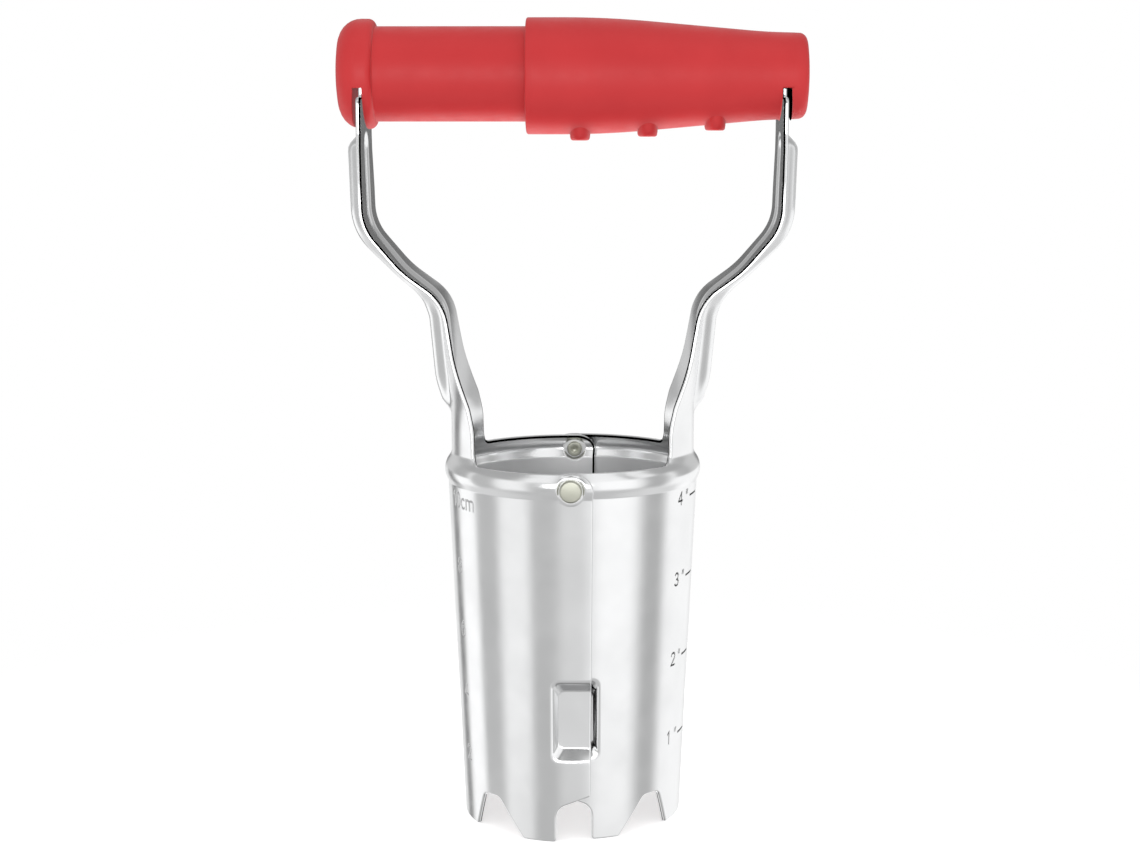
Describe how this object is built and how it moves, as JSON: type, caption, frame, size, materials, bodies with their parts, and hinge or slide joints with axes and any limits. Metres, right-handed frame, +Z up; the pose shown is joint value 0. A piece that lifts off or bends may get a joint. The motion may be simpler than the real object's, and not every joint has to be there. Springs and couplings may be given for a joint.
{
  "type": "bulb planter with squeeze handle",
  "caption": "Hand bulb planter: a toothed steel tube split into two hinged jaws, opened by squeezing a telescoping sprung grip.",
  "frame": {"origin": "on the tube's axis, at the plane of the tooth tips, midway between the ends of the grip", "axes": "+Z up from the teeth to the grip, -Y the front with the rivet and stop pocket that the picture shows, +X right along the grip towards its tapered sleeve"},
  "size_m": [0.144, 0.0834, 0.2489],
  "materials": {
    "bright_steel": "bright plated sheet, soft sheen",
    "zinc_rivet": "yellowish zinc plating",
    "red_plastic": "satin moulded",
    "spring_wire": "drawn wire"
  },
  "bodies": {
    "pivot": {"front_rivet": "zinc_rivet", "rear_rivet": "zinc_rivet"},
    "jaw_l": {"left_jaw": "bright_steel"},
    "jaw_r": {"right_jaw": "bright_steel"},
    "grip_i": {"grip_inner": "red_plastic", "return_spring": "spring_wire"},
    "grip_o": {"grip_outer": "red_plastic"}
  },
  "joints": [
    {"name": "left_jaw_swing", "type": "hinge", "parent": "pivot", "child": "jaw_l", "pos_m": [0, 0, 0.11], "axis": [0, 1, 0], "range_deg": [0, 6]},
    {"name": "right_jaw_swing", "type": "hinge", "parent": "pivot", "child": "jaw_r", "pos_m": [0, 0, 0.11], "axis": [0, 1, 0], "range_deg": [-6.05, 0]},
    {"name": "grip_level", "type": "hinge", "parent": "jaw_l", "child": "grip_i", "pos_m": [-0.064, -0.0012, 0.2294], "axis": [0, 1, 0], "range_deg": [-6.05, 0]},
    {"name": "grip_squeeze", "type": "slide", "parent": "grip_i", "child": "grip_o", "axis": [-1, 0, 0], "range_m": [0, 0.0258], "stiffness_N_per_m": 900, "springref_m": -0.01, "deforming": ["return_spring"]}
  ],
  "couplings": [
    {"joint": "right_jaw_swing", "follows": "left_jaw_swing", "ratio": -1},
    {"joint": "grip_level", "follows": "left_jaw_swing", "ratio": -1},
    {"joint": "grip_squeeze", "follows": "left_jaw_swing", "m_per_rad": 0.24434}
  ]
}
